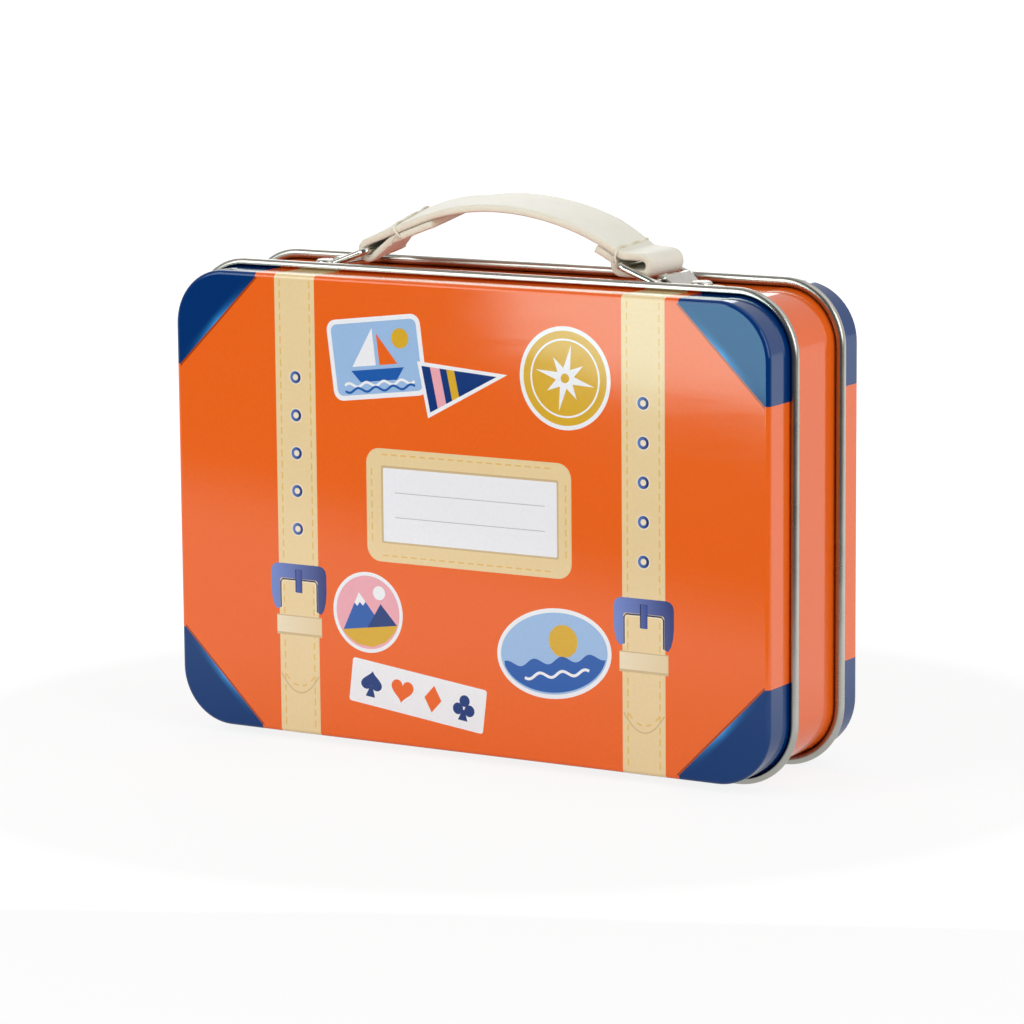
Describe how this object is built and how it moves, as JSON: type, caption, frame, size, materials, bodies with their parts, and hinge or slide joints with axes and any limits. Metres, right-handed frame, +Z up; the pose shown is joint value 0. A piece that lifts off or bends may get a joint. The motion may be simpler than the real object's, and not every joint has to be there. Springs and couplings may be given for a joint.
{
  "type": "playing card tin",
  "caption": "Suitcase-shaped tinplate box for playing cards: push-on lid and back cover with rolled rims on a plain band, with a stitched strap handle on wire loops.",
  "frame": {"origin": "middle of the footprint, on the surface that the tin stands on", "axes": "+X along the width, +Y from the lid at the front to the back cover, +Z up to the handle"},
  "size_m": [0.1454, 0.0394, 0.1149],
  "materials": {
    "printed_tinplate": "glossy printed enamel on tinplate, bare at the rolled rims",
    "strap": "smooth coated strap, cream",
    "nickel_plate": "nickel plated steel stamping",
    "nickel_wire": "nickel plated steel wire",
    "cards": "coated card"
  },
  "bodies": {
    "case": {"body_band": "printed_tinplate", "back_cover": "printed_tinplate", "left_bracket": "nickel_plate", "right_bracket": "nickel_plate", "left_rivet": "nickel_plate", "right_rivet": "nickel_plate", "left_rivet_washer": "nickel_plate", "right_rivet_washer": "nickel_plate", "left_card_deck": "cards", "right_card_deck": "cards"},
    "lid": {"front_lid": "printed_tinplate"},
    "left_loop": {"left_wire_loop": "nickel_wire"},
    "handle": {"handle_strap": "strap"},
    "right_loop": {"right_wire_loop": "nickel_wire"}
  },
  "joints": [
    {"name": "lid_pull", "type": "slide", "parent": "case", "child": "lid", "axis": [0, -1, 0], "range_m": [0, 0.03]},
    {"name": "left_loop_swing", "type": "hinge", "parent": "case", "child": "left_loop", "pos_m": [-0.039, 0, 0.1007], "axis": [0, -1, 0], "range_deg": [0, 26]},
    {"name": "strap_level", "type": "hinge", "parent": "left_loop", "child": "handle", "pos_m": [-0.03041, 0, 0.104], "axis": [0, -1, 0], "range_deg": [-26, 0]},
    {"name": "right_loop_swing", "type": "hinge", "parent": "case", "child": "right_loop", "pos_m": [0.039, 0, 0.1007], "axis": [0, 1, 0], "range_deg": [0, 26]}
  ],
  "couplings": [
    {"joint": "strap_level", "follows": "left_loop_swing", "ratio": -1},
    {"joint": "right_loop_swing", "follows": "left_loop_swing", "ratio": 1}
  ]
}
